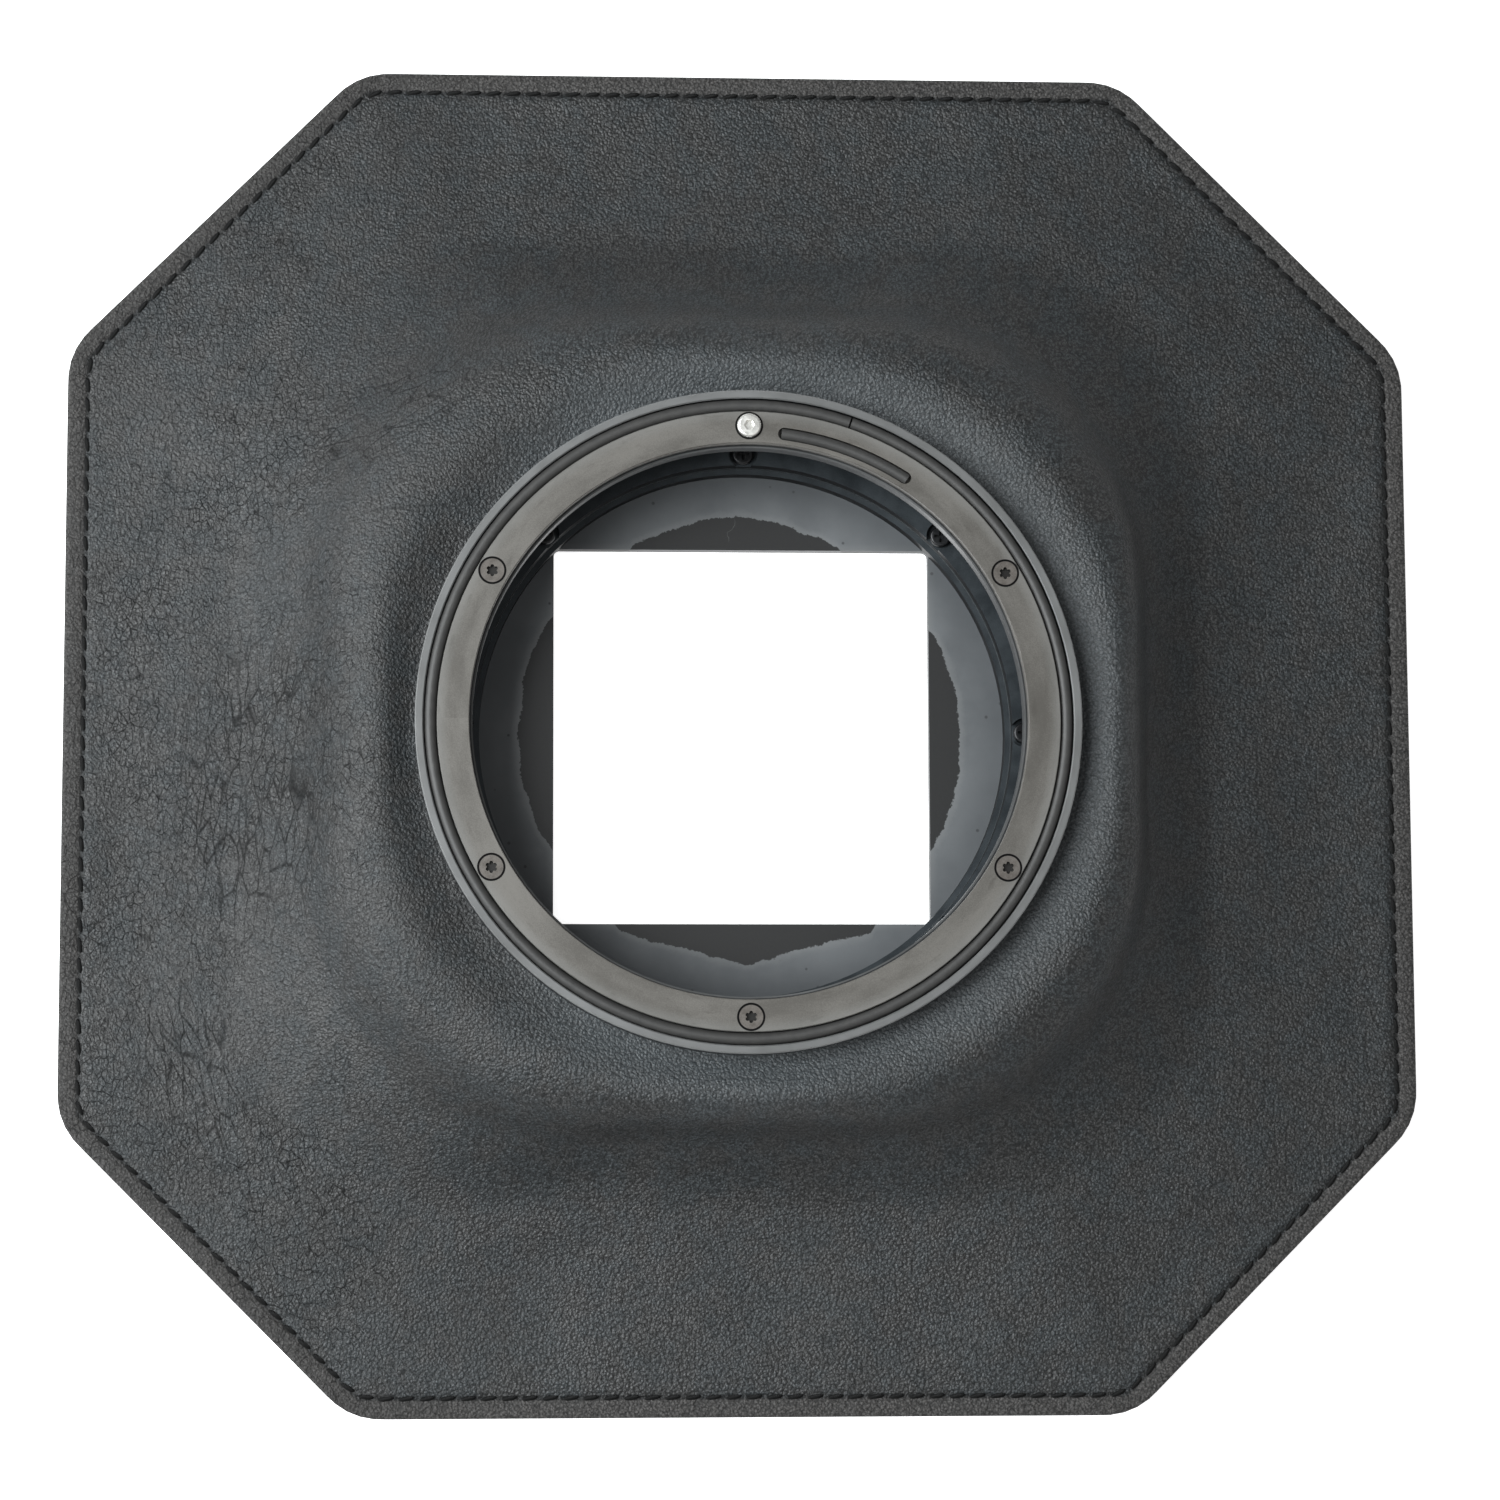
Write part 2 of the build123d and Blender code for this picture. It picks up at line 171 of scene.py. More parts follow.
# %% Finish kit
class Finish:
    """A material whose nodes are added one call at a time."""

    def __init__(self, name, colour, roughness, metallic=0.0, specular=0.5):
        self.material = bpy.data.materials.new(name)
        self.material.use_nodes = True
        self.tree = self.material.node_tree
        self.shader = self.tree.nodes["Principled BSDF"]
        self.set("Base Color", (*colour, 1))
        self.set("Roughness", roughness)
        self.set("Metallic", metallic)
        self.set("Specular IOR Level", specular)
        place = self.add("ShaderNodeTexCoord").outputs["Object"]
        scale = self.add("ShaderNodeVectorMath", operation="SCALE")
        self.put(place, scale.inputs[0])
        scale.inputs["Scale"].default_value = 1 / MM
        self.mm = scale.outputs[0]
        parts = self.add("ShaderNodeSeparateXYZ")
        self.put(self.mm, parts.inputs[0])
        self.x, self.y, self.z = parts.outputs

    def add(self, kind, **settings):
        node = self.tree.nodes.new(kind)
        for key, value in settings.items():
            setattr(node, key, value)
        return node

    def put(self, value, socket):
        """Joins an output to a socket, or sets the socket to a plain value."""
        if isinstance(value, bpy.types.NodeSocket):
            self.tree.links.new(value, socket)
        elif value is not None:
            socket.default_value = value

    def set(self, name, value):
        self.put(value, self.shader.inputs[name])

    def math(self, operation, a, b=None, c=None):
        node = self.add("ShaderNodeMath", operation=operation)
        for value, socket in zip((a, b, c), node.inputs):
            self.put(value, socket)
        return node.outputs[0]

    def noise(self, scale, detail=2.0, rough=0.5, place=None):
        node = self.add("ShaderNodeTexNoise")
        self.put(place or self.mm, node.inputs["Vector"])
        node.inputs["Scale"].default_value = scale
        node.inputs["Detail"].default_value = detail
        node.inputs["Roughness"].default_value = rough
        return node.outputs["Fac"]

    def cells(self, scale, feature="F1", place=None):
        node = self.add("ShaderNodeTexVoronoi", feature=feature)
        self.put(place or self.mm, node.inputs["Vector"])
        node.inputs["Scale"].default_value = scale
        return node.outputs["Distance"]

    def stretch(self, scale, place=None):
        node = self.add("ShaderNodeMapping")
        self.put(place or self.mm, node.inputs["Vector"])
        node.inputs["Scale"].default_value = scale
        return node.outputs[0]

    def wobble(self, scale, amount, place=None):
        """The place, pushed about by a soft noise, so that a pattern loses its regularity."""
        node = self.add("ShaderNodeTexNoise")
        self.put(place or self.mm, node.inputs["Vector"])
        node.inputs["Scale"].default_value = scale
        node.inputs["Detail"].default_value = 2.0
        push = self.add("ShaderNodeVectorMath", operation="MULTIPLY_ADD")
        self.put(node.outputs["Color"], push.inputs[0])
        push.inputs[1].default_value = (amount, amount, amount)
        self.put(place or self.mm, push.inputs[2])
        return push.outputs[0]

    def between(self, value, start, end, low=0.0, high=1.0, soft=True):
        """Turns a value that runs from start to end into one from low to high."""
        node = self.add("ShaderNodeMapRange",
                        interpolation_type="SMOOTHSTEP" if soft else "LINEAR")
        self.put(value, node.inputs["Value"])
        for name, number in (("From Min", start), ("From Max", end),
                             ("To Min", low), ("To Max", high)):
            self.put(number, node.inputs[name])
        return node.outputs["Result"]

    def mix(self, share, a, b):
        node = self.add("ShaderNodeMix", data_type="RGBA")
        self.put(share, node.inputs["Factor"])
        for value, socket in ((a, node.inputs["A"]), (b, node.inputs["B"])):
            self.put((*value, 1) if isinstance(value, tuple) else value, socket)
        return node.outputs["Result"]

    def blend_number(self, share, a, b):
        node = self.add("ShaderNodeMix", data_type="FLOAT")
        self.put(share, node.inputs["Factor"])
        self.put(a, node.inputs["A"])
        self.put(b, node.inputs["B"])
        return node.outputs["Result"]

    def bump(self, height, depth_mm, normal=None):
        node = self.add("ShaderNodeBump")
        self.put(height, node.inputs["Height"])
        node.inputs["Distance"].default_value = depth_mm * MM
        self.put(normal, node.inputs["Normal"])
        return node.outputs["Normal"]

    def radius(self):
        """Distance from the optical axis, in millimetres."""
        square = self.math("ADD", self.math("MULTIPLY", self.x, self.x),
                           self.math("MULTIPLY", self.y, self.y))
        return self.math("SQRT", square)

    def facing_up(self):
        geometry = self.add("ShaderNodeNewGeometry")
        parts = self.add("ShaderNodeSeparateXYZ")
        self.put(geometry.outputs["Normal"], parts.inputs[0])
        return parts.outputs[2]


def dress(obj, finish):
    obj.data.materials.clear()
    obj.data.materials.append(finish.material)


print("the kit can", ", ".join(move for move in vars(Finish) if not move.startswith("_")))


# %% [markdown]
# ## Leather
# The hide is black with a fine grain and a soft sheen. Each bead of the grain is a cell about
# half a millimetre across. Where the bag has been folded, mostly on its left side, the skin has
# cracked into a net of dark creases: in some places the net has no direction, in others the
# creases run side by side. Outside the stitches the cut edge is rubbed paler. A picture of a
# hide would be quicker, but it would repeat, and its creases would fall in the wrong places.
# Noise and cells never repeat, and a share of left side, fold or edge says where each one shows.


# %% Patterns of the leather
def patch(f, centre, reach, turn):
    """A soft-edged oval share, and the place measured along its own axes."""
    shift = f.add("ShaderNodeMapping")
    f.put(f.mm, shift.inputs["Vector"])
    c, s = cos(turn), sin(turn)
    x, y = centre
    shift.inputs["Rotation"].default_value = (0, 0, turn)
    shift.inputs["Location"].default_value = (-(c * x - s * y), -(s * x + c * y), 0)
    parts = f.add("ShaderNodeSeparateXYZ")
    f.put(shift.outputs[0], parts.inputs[0])
    across = f.math("DIVIDE", parts.outputs[0], reach[0])
    along = f.math("DIVIDE", parts.outputs[1], reach[1])
    distance = f.math("SQRT", f.math("ADD", f.math("MULTIPLY", across, across),
                                     f.math("MULTIPLY", along, along)))
    return f.between(distance, 1.0, 0.35), shift.outputs[0]


def crease_net(f, place, size, width):
    """1 in the middle of a crease and 0 between creases."""
    edge = f.cells(1 / size, "DISTANCE_TO_EDGE", place)
    return f.between(edge, width, 0.0)


def edge_distance(f):
    """Distance in from the cut edge of the octagon, in millimetres."""
    x, y = f.math("ABSOLUTE", f.x), f.math("ABSOLUTE", f.y)
    straight = f.math("SUBTRACT", BAG_HALF, f.math("MAXIMUM", x, y))
    across = f.math("MULTIPLY", f.math("ADD", x, y), 1 / sqrt(2))
    corner = f.math("SUBTRACT", (2 * BAG_HALF - CORNER_CUT) / sqrt(2), across)
    return f.math("MINIMUM", straight, corner)


print("leather patterns: patch, crease net and distance from the edge")

# %% Creases of the leather
FOLDS = (  # centre, reach, turn, strength: places where the creases run side by side
    ((-82, -10), (22, 44), radians(4), 0.85),
    ((-60, 52), (11, 26), radians(63), 0.8),
    ((-92, -57), (14, 28), radians(-19), 0.8),
    ((73, 15), (9, 36), radians(8), 0.35),
)
LONG_CREASES = (  # from, to, height up the panel, slant: single folds that run towards the ring
    (-66, -47, 35.4, 0.02), (-80, -53, 21.0, 0.06), (-110, -92, 15.4, 0.02),
)


def long_crease(f, start, end, height, slant):
    """A single thin fold that wanders a little and fades out at both ends."""
    wander = f.math("MULTIPLY_ADD", f.noise(0.09, 2), 3.0, height - 1.5)
    line = f.math("MULTIPLY_ADD", f.math("SUBTRACT", f.x, start), slant, wander)
    near = f.between(f.math("ABSOLUTE", f.math("SUBTRACT", f.y, line)), 0.42, 0.06)
    reach = f.math("MULTIPLY", f.between(f.x, start, start + 6), f.between(f.x, end, end - 3))
    return f.math("MULTIPLY", near, reach)


def all_creases(f, left_side):
    """The share of crease at each place, from two nets, the folds and the long creases."""
    rough_place = f.wobble(0.45, 0.55)
    net = crease_net(f, f.stretch((1.25, 0.75, 1), rough_place), 1.7, 0.065)
    fine_net = crease_net(f, rough_place, 0.95, 0.08)
    somewhere = f.between(f.noise(0.035, 4, 0.65), 0.36, 0.66)
    here = f.between(f.noise(0.22, 3, 0.6), 0.30, 0.60, 0.65, 1.0)
    share = f.math("MULTIPLY", left_side, f.between(somewhere, 0.0, 1.0, 0.50, 0.80))
    share = f.math("MULTIPLY", f.math("ADD", share, f.math("MULTIPLY", somewhere, 0.10)), here)
    creases = f.math("MULTIPLY", net, share)
    creases = f.math("MAXIMUM", creases, f.math("MULTIPLY", fine_net, f.math("MULTIPLY", share, 0.6)))
    for centre, reach, turn, strength in FOLDS:
        inside, place = patch(f, centre, reach, turn)
        pushed = f.wobble(0.22, 1.3, place)
        lines = crease_net(f, f.stretch((1, 0.24, 0.24), pushed), 1.9, 0.08)
        inside = f.math("MULTIPLY", inside, here)
        creases = f.math("MAXIMUM", creases,
                         f.math("MULTIPLY", lines, f.math("MULTIPLY", inside, strength)))
    for crease in LONG_CREASES:
        creases = f.math("MAXIMUM", creases, f.math("MULTIPLY", long_crease(f, *crease), 0.45))
    return creases


print("creases come from 2 nets,", len(FOLDS), "folds and", len(LONG_CREASES), "long creases")


# %% Leather finish
def leather_relief(f, creases, beads, pores):
    """Broad dents, creases, beads of grain and pores, from the largest to the smallest."""
    normal = f.bump(f.noise(0.05, 2, 0.45), 0.7)
    normal = f.bump(creases, -0.065, normal)
    normal = f.bump(beads, -0.15, normal)
    return f.bump(pores, 0.10, normal)


def leather_base(f, painted_sheen, margin):
    """Black in two tints, greyer and bluer in a painted sheen beside the ring, warmer outside the
    stitches.
    """
    tint = f.between(f.noise(0.16, 4, 0.65), 0.4, 0.62)
    base = f.mix(tint, (0.0185, 0.0187, 0.0186), (0.0160, 0.0196, 0.0215))
    base = f.mix(f.math("MULTIPLY", painted_sheen, 0.9), base, (0.043, 0.050, 0.054))
    return f.mix(f.math("MULTIPLY", margin, 0.8), base, (0.036, 0.033, 0.031))


def leather_grain(f, beads, pores, left_side, painted_sheen):
    """How light the grain makes each place: less lively where the hide is worn and in the painted
    sheen beside the ring.
    """
    grain = f.math("MULTIPLY", f.between(pores, 0.38, 0.62, 0.45, 1.35),
                   f.between(beads, 0.25, 0.75, 1.2, 0.5))
    worn = f.math("MAXIMUM", f.math("MULTIPLY", left_side, 0.35), f.math("MULTIPLY", painted_sheen, 0.5))
    return f.blend_number(worn, grain, 0.8)


def make_leather(name):
    f = Finish(name, (0.02, 0.022, 0.024), 0.48, specular=0.5)
    left_side = f.between(f.x, -30, -72)
    creases = all_creases(f, left_side)
    beads = f.cells(1.9, place=f.wobble(1.3, 0.5))
    pores = f.noise(3.4, 3, 0.6)
    f.set("Normal", leather_relief(f, creases, beads, pores))
    from_edge = edge_distance(f)
    margin = f.between(from_edge, STITCH_INSET + 0.1, STITCH_INSET - 0.5)
    groove = f.between(f.math("ABSOLUTE", f.math("SUBTRACT", from_edge, STITCH_INSET)), 0.6, 0.2)
    # Beside the ring, 57 to 67 mm out and away from the left side, the leather is painted lighter and
    # bluer: a painted sheen.
    painted_sheen = f.math("MULTIPLY", f.between(f.radius(), 67, 57), f.between(f.x, -52, -20))
    grain = leather_grain(f, beads, pores, left_side, painted_sheen)
    shade = f.add("ShaderNodeVectorMath", operation="SCALE")
    f.put(leather_base(f, painted_sheen, margin), shade.inputs[0])
    f.put(grain, shade.inputs["Scale"])
    # Creases and the seam's groove are painted near black and lose their shine: painted shade in
    # these hollows.
    dark = f.math("MAXIMUM", f.math("MULTIPLY", creases, 0.8), f.math("MULTIPLY", groove, 0.45))
    f.set("Base Color", f.mix(dark, shade.outputs[0], (0.002, 0.002, 0.002)))
    f.set("Specular IOR Level", f.math("MULTIPLY", f.between(dark, 0.0, 1.0, 0.5, 0.08),
                                       f.between(grain, 0.3, 1.4, 0.75, 1.2)))
    roughness = f.between(f.noise(0.08, 4, 0.6), 0.3, 0.7, 0.44, 0.52)
    f.set("Roughness", f.blend_number(f.math("MAXIMUM", margin, creases), roughness, 0.66))
    return f


leather = make_leather("grained_black_leather")
print("leather finish has", len(leather.tree.nodes), "nodes")

# %% [markdown]
# ## The shape of a panel
# A panel starts as a flat octagon. Its middle is clamped at the height of a metal ring, and it
# comes down over the square plate to the seam. So it is lofted along rails: the round hole, the
# ring's edge, four rounded squares that follow the plate, the stitch line and the cut edge.
# Cloth physics could drape it, but a hide held at both edges has little freedom, and rails put
# its folds where they are wanted. Each rail has one height.


# %% Outline of the octagon
def octagon_path(inset, places):
    """Points and outward directions on the bag's outline, pulled in by inset.

    places are shares of the way round the stitch line, counted from the middle of the right side.
    """
    far = BAG_HALF - CORNER_RADIUS
    near = far - (CORNER_CUT - CORNER_RADIUS * (2 - sqrt(2)))
    corner_centres = [(far, near), (near, far), (-near, far), (-far, near),
                      (-far, -near), (-near, -far), (near, -far), (far, -near)]
    bend = CORNER_RADIUS - STITCH_INSET
    spans = []      # kind, length and data of each straight run and each corner
    for i in range(8):
        start, end = corner_centres[i - 1], corner_centres[i]
        facing = radians(45 * i)
        normal = (cos(facing), sin(facing))
        spans.append(("run", hypot(end[0] - start[0], end[1] - start[1]), (start, end, normal)))
        spans.append(("turn", bend * pi / 4, (end, facing)))
    half_side = spans[0][1] / 2
    total = sum(length for _, length, _ in spans)
    points, normals = [], []
    reach = CORNER_RADIUS - inset
    for place in places:
        s = (place * total + half_side) % total
        for kind, length, data in spans:
            if s <= length:
                break
            s -= length
        if kind == "run":
            (x0, y0), (x1, y1), normal = data
            x, y = x0 + (x1 - x0) * s / length, y0 + (y1 - y0) * s / length
        else:
            (x, y), facing = data
            angle = facing + s / bend
            normal = (cos(angle), sin(angle))
        points.append((x + normal[0] * reach, y + normal[1] * reach))
        normals.append(normal)
    return np.array(points), np.array(normals), total


STITCHES = round(octagon_path(0, [0])[2] / STITCH_PITCH)
COLUMNS = 2 * STITCHES
AROUND = np.arange(COLUMNS) / COLUMNS
print("seam length", round(octagon_path(0, [0])[2], 1), "mm,", STITCHES, "stitches")


# %% Rails of a panel
def circle_rail(radius, angle):
    return radius * np.stack([np.cos(angle), np.sin(angle)], 1)


def square_rail(half, corner, angle, shift=(0, 0)):
    """Where each direction leaves a rounded square, which may stand off centre."""
    c, s = np.abs(np.cos(angle)), np.abs(np.sin(angle))
    along = (half - corner) * (c + s)
    arc = along + np.sqrt(np.maximum(along ** 2 - 2 * (half - corner) ** 2 + corner ** 2, 0))
    flat = half / np.maximum(c, s)
    on_flat = flat * np.minimum(c, s) <= half - corner
    return circle_rail(1, angle) * np.where(on_flat, flat, arc)[:, None] + np.array(shift)


def through(knots, values, at, level=False):
    """A smooth curve through values at knots, read at other places.

    With level it never rises above or dips below its neighbouring knots.
    """
    knots, at = np.array(knots, float), np.array(at, float)
    slope = np.gradient(values, knots, axis=0)
    if level:
        rise = np.diff(values) / np.diff(knots)
        left, right = rise[:-1], rise[1:]
        both = left * right > 0
        slope[1:-1] = np.where(both, 2 * left * right / np.where(both, left + right, 1), 0)
        slope[0], slope[-1] = 0, 0
    i = np.clip(np.searchsorted(knots, at, "right") - 1, 0, len(knots) - 2)
    width = knots[i + 1] - knots[i]
    shape = (-1,) + (1,) * (values.ndim - 1)
    t, width = ((at - knots[i]) / width).reshape(shape), width.reshape(shape)
    return ((2 * t**3 - 3 * t**2 + 1) * values[i] + (t**3 - 2 * t**2 + t) * width * slope[i]
            + (3 * t**2 - 2 * t**3) * values[i + 1] + (t**3 - t**2) * width * slope[i + 1])


def panel_surface(rails, heights, knots, rows):
    """Points of a lofted panel, one line of COLUMNS points for each row."""
    flat = through(knots, np.array(rails), rows)
    tall = through(knots, np.array(heights), rows, level=True)
    return flat, np.broadcast_to(tall[:, None], flat.shape[:2]).copy()


print("rails: a circle has", len(circle_rail(1, AROUND)), "points, as every rail has")

# %% Front and rear panels as rails and heights
STITCH_LINE = octagon_path(STITCH_INSET, AROUND)[0]
CUT_EDGE = octagon_path(0, AROUND)[0]
ANGLE = np.arctan2(STITCH_LINE[:, 1], STITCH_LINE[:, 0])
FOOT = 36.2             # where the slope meets the brim, along the panel
STITCH_AT = 65.3        # where the seam runs, along the panel
EDGE_AT = STITCH_AT + STITCH_INSET
EDGE_ROUND = 0.7        # how far in the cut edge starts to thin
RING_EDGE_AT, CREST_AT = 9.6, 17.7      # the front panel turns most between these two
FOOT_RAIL, SEAM_RAIL, EDGE_RAIL = 5, 6, 7

PANELS = {
    "front": dict(
        knots=(0, RING_EDGE_AT, 13.4, CREST_AT, 24.2, FOOT, STITCH_AT, EDGE_AT),
        rails=(circle_rail(RING_OUTER - 9.2, ANGLE), circle_rail(RING_OUTER + 0.4, ANGLE),
               square_rail(PLATE_HALF + 0.6, 50, ANGLE),
               square_rail(PLATE_HALF + 4.8, 48, ANGLE, (-0.9, 0.8)),
               square_rail(PLATE_HALF + 11.0, 44.5, ANGLE, (-3.2, 2.0)),
               square_rail(PLATE_HALF + 23.0, 42.5, ANGLE, (-3.6, 2.2)),
               STITCH_LINE, CUT_EDGE),
        heights=(FRONT_COLLAR_Z, FRONT_COLLAR_Z, FRONT_COLLAR_Z + 1.4, 21.2, 12.9, 6.4,
                 FRONT_EDGE_Z + 0.1, FRONT_EDGE_Z),
        inner="front_ring", outer="front_panel", inside=-1),
    "rear": dict(
        knots=(0, 6.8, 10.8, 15.0, 23.0, FOOT, STITCH_AT, EDGE_AT),
        rails=(circle_rail(REAR_BORE, ANGLE), circle_rail(REAR_BORE + 6.8, ANGLE),
               square_rail(PLATE_HALF - 3.2, 20, ANGLE), square_rail(PLATE_HALF + 0.6, 10, ANGLE),
               square_rail(PLATE_HALF + 8.0, 18, ANGLE), square_rail(PLATE_HALF + 20.0, 30, ANGLE),
               STITCH_LINE, CUT_EDGE),
        heights=(REAR_COLLAR_Z, REAR_COLLAR_Z, REAR_COLLAR_Z - 0.02, REAR_COLLAR_Z - 0.06, 3.8,
                 2.7, REAR_EDGE_Z, REAR_EDGE_Z),
        inner="rear_frame", outer="rear_panel", inside=1),
}
for panel, shape in PANELS.items():
    print(panel, "panel:", len(shape["rails"]), "rails, from", shape["inner"], "to", shape["outer"])


# %% Rows of points along a panel
def steps(start, end, count):
    return list(np.linspace(start, end, count, endpoint=False))


SLOPE_ROWS = (steps(0, RING_EDGE_AT, 6) + steps(RING_EDGE_AT, CREST_AT, 14)
              + steps(CREST_AT, FOOT, 22) + [FOOT])
BRIM_ROWS = (steps(FOOT, STITCH_AT - 2, 28) + steps(STITCH_AT - 2, STITCH_AT + 2, 9)
             + [STITCH_AT + 2, EDGE_AT - EDGE_ROUND, EDGE_AT - EDGE_ROUND / 2, EDGE_AT - 0.12,
                EDGE_AT])
print("a panel has", len(SLOPE_ROWS) + len(BRIM_ROWS), "rows of", COLUMNS, "points")

# %% [markdown]
# ## Soft waves in the hide
# A hide that has been folded and stored never lies quite flat. Broad waves a few tenths of a
# millimetre high are enough to break up the sheen. A bump in the material could fake them, but
# only a real shape looks right from the side. They fade out at the seam, at the foot of the
# slope and at the clamped collar, so that the pieces still meet. The thread pulls the hide in.


# %% Waves
WAVE_SEED = 5
WAVE_HEIGHT = 0.30
WAVES = ((75, 0.9), (48, 0.6), (31, 0.4), (19, 0.22), (12, 0.12))      # wavelength, height
STITCH_PULL = 0.34
STITCH_PHASE = np.cos(2 * pi * np.arange(COLUMNS) / 2)     # a hole, then a loop, then a hole


def waves(x, y):
    """A smooth field between about -1 and 1, made of a few sine waves in seeded directions."""
    random = np.random.default_rng(WAVE_SEED)
    total = np.zeros_like(x)
    for wavelength, height in WAVES:
        for _ in range(3):
            heading, phase = random.uniform(0, 2 * pi, 2)
            total += height / 3 * np.sin(2 * pi * (x * cos(heading) + y * sin(heading)) / wavelength
                                         + phase)
    return total


def fade(value, start, end):
    t = np.clip((value - start) / (end - start), 0, 1)
    return t * t * (3 - 2 * t)


def zone_points(panel, rows, lift):
    """Points of a strip of the panel between two rows, raised or lowered by lift."""
    p = PANELS[panel]
    flat, tall = panel_surface(p["rails"], p["heights"], p["knots"], rows)
    at = np.array(rows)[:, None]
    x, y = flat[..., 0], flat[..., 1]
    calm = fade(at, FOOT, FOOT + 8) * fade(at, STITCH_AT - 1, STITCH_AT - 9)
    slope_calm = fade(at, 11, 17) * fade(at, FOOT, FOOT - 8)
    tall = tall + WAVE_HEIGHT * (calm + 1.2 * slope_calm) * waves(x, y)
    pull = np.exp(-((at - STITCH_AT) / 0.75) ** 2)
    tall = tall + p["inside"] * STITCH_PULL * pull * (0.7 + 0.3 * STITCH_PHASE[None, :])
    return np.stack([x, y, tall + lift], 2).reshape(-1, 3) * MM


brim_z = zone_points("front", BRIM_ROWS, 0)[:, 2] / MM
print("front brim runs from", round(brim_z.min(), 2), "to", round(brim_z.max(), 2), "mm high")


# %% Making one zone of a panel
def strip_mesh(name, points, row_count):
    """A strip of smooth faces between rows of points, closed all the way round."""
    faces = [((r + 1) * COLUMNS + c, (r + 1) * COLUMNS + (c + 1) % COLUMNS,
              r * COLUMNS + (c + 1) % COLUMNS, r * COLUMNS + c)
             for r in range(row_count - 1) for c in range(COLUMNS)]
    mesh = bpy.data.meshes.new(name)
    mesh.from_pydata(points.tolist(), [], faces)
    mesh.polygons.foreach_set("use_smooth", [True] * len(faces))
    mesh.update()
    return mesh


def thicken(obj, rows, thickness, edge_round):
    """Gives a strip its thickness, which may taper at the cut edge, and keeps its edges sharp."""
    thin = obj.vertex_groups.new(name="thickness")
    for r, where in enumerate(rows):
        share = 1.0
        if edge_round:
            near = min(max((EDGE_AT - where) / EDGE_ROUND, 0), 1)
            share = 0.35 + 0.65 * sqrt(1 - (1 - near) ** 2)
        thin.add(list(range(r * COLUMNS, (r + 1) * COLUMNS)), share, "REPLACE")
    solid = obj.modifiers.new("thickness", "SOLIDIFY")
    solid.thickness = thickness * MM
    solid.offset = 0
    solid.vertex_group = "thickness"
    split = obj.modifiers.new("edges", "EDGE_SPLIT")
    split.split_angle = radians(50)


def zone(name, panel, rows, lift, thickness, finish, edge_round):
    """A strip of the panel between two rows, as a thin sheet raised or lowered by lift."""
    mesh = strip_mesh(name, zone_points(panel, rows, lift), len(rows))
    obj = bpy.data.objects.new(name, mesh)
    bpy.context.scene.collection.objects.link(obj)
    dress(obj, finish)
    thicken(obj, rows, thickness, edge_round)
    return obj


print("a slope has", (len(SLOPE_ROWS) - 1) * COLUMNS, "faces, a brim",
      (len(BRIM_ROWS) - 1) * COLUMNS)

# %% [markdown]
# ## Two pieces to each panel
# A piece can only bend across one joint, so each panel is two pieces that meet on one row. Each
# panel is made as two pieces, a slope and a brim, that meet on one row. Its lining is made the
# same way, and the modelled piece that each layer replaces is hidden.

# %% Lining cloth
cloth = Finish("black_lining_cloth", (0.006, 0.007, 0.008), 0.85, specular=0.25)
weave = cloth.noise(4.0, 2, 0.5, cloth.stretch((1, 3, 1)))
cloth.set("Normal", cloth.bump(weave, 0.05))
cloth.set("Base Color", cloth.mix(cloth.noise(0.2, 3), (0.005, 0.006, 0.007),
                                  (0.011, 0.012, 0.013)))
print("lining cloth finish is ready")


# %% Building the four layers
def flat_sizes(panel):
    """Width of the cut, and its flat area, for the slope and for the brim."""
    p = PANELS[panel]

    def area(rail):
        x, y = rail[:, 0], rail[:, 1]
        return 0.5 * abs(np.sum(x * np.roll(y, -1) - y * np.roll(x, -1))) * MM * MM

    foot, cut = p["rails"][FOOT_RAIL], p["rails"][EDGE_RAIL]
    return ((np.ptp(foot[:, 0]) * MM, area(foot) - area(p["rails"][0])),
            (np.ptp(cut[:, 0]) * MM, area(cut) - area(foot)))


def make_layer(panel, kind, lift, thickness, finish):
    names = (f"{panel}_{kind}_slope", f"{panel}_{kind}_brim")
    slope = zone(names[0], panel, SLOPE_ROWS, lift, thickness, finish, False)
    brim = zone(names[1], panel, BRIM_ROWS, lift, thickness, finish, kind == "leather")
    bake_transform(slope)
    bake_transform(brim)
    node = f"{panel}_{kind}"
    for piece, (whole, area) in zip((slope, brim), flat_sizes(panel)):
        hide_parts(node)
    print(node, "made as", names)


for panel, shape in PANELS.items():
    make_layer(panel, "leather", 0, LEATHER, leather)
    make_layer(panel, "lining", shape["inside"] * (LEATHER + LINING) / 2, LINING * 0.9, cloth)

# %% [markdown]
# ## Stitches
# The seam is sewn in lockstitch. Each stitch is a short, fat loop of waxed thread that lies a
# little aslant between two holes. One stitch is modelled and copied round the edge. An array
# modifier could follow the seam as a curve, but it would bend its copies. Placing each copy
# keeps them all the same. There are hundreds, so one stitch has only a few dozen faces.

# %% Thread finish
thread = Finish("waxed_thread", (0.006, 0.006, 0.007), 0.6, specular=0.2)
twist = thread.add("ShaderNodeTexWave", wave_type="BANDS", bands_direction="DIAGONAL")
thread.put(thread.mm, twist.inputs["Vector"])
twist.inputs["Scale"].default_value = 2.2
thread.set("Normal", thread.bump(twist.outputs["Fac"], 0.06))
thread.set("Base Color", thread.mix(twist.outputs["Fac"], (0.0015, 0.0015, 0.0015),
                                    (0.006, 0.006, 0.006)))
print("thread finish is ready")


